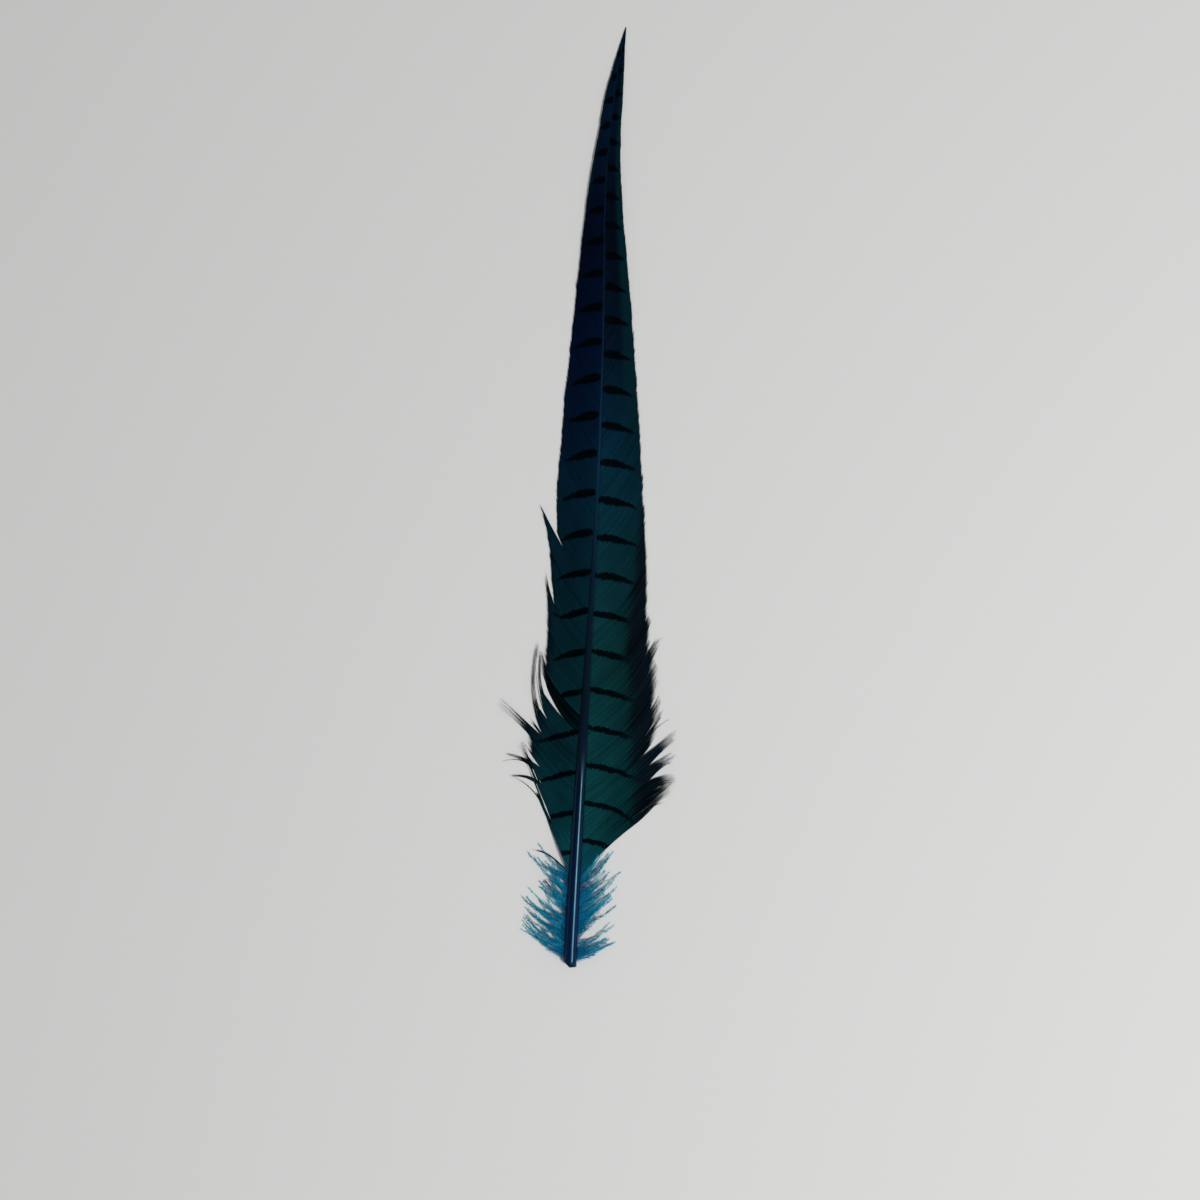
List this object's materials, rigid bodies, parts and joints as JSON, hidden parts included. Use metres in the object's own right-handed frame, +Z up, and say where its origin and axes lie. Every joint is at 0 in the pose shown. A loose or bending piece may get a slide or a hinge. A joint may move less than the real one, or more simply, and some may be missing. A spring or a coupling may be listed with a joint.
{
  "type": "pheasant tail feather",
  "caption": "Dyed pheasant tail feather lying face up: long tapering barred vane with a loose fringe and open locks, soft down at the base and a cut hollow quill.",
  "frame": {"origin": "centre of the feather's box, on the surface that it lies on", "axes": "+Y along the shaft from the cut quill to the tip, +X across it to the wider vane's side, +Z up out of the feather's upper face"},
  "size_m": [0.0774, 0.399, 0.0058],
  "materials": {
    "vane": "dyed barbs, deep blue-green with near-black bars and a darker fringe, soft satin sheen",
    "shaft": "dyed keratin, dark navy to mid blue, smooth and glossy along the top",
    "down": "dyed down, bright turquoise blue, soft and matt"
  },
  "bodies": {
    "root": {"feather": "vane"}
  },
  "joints": []
}
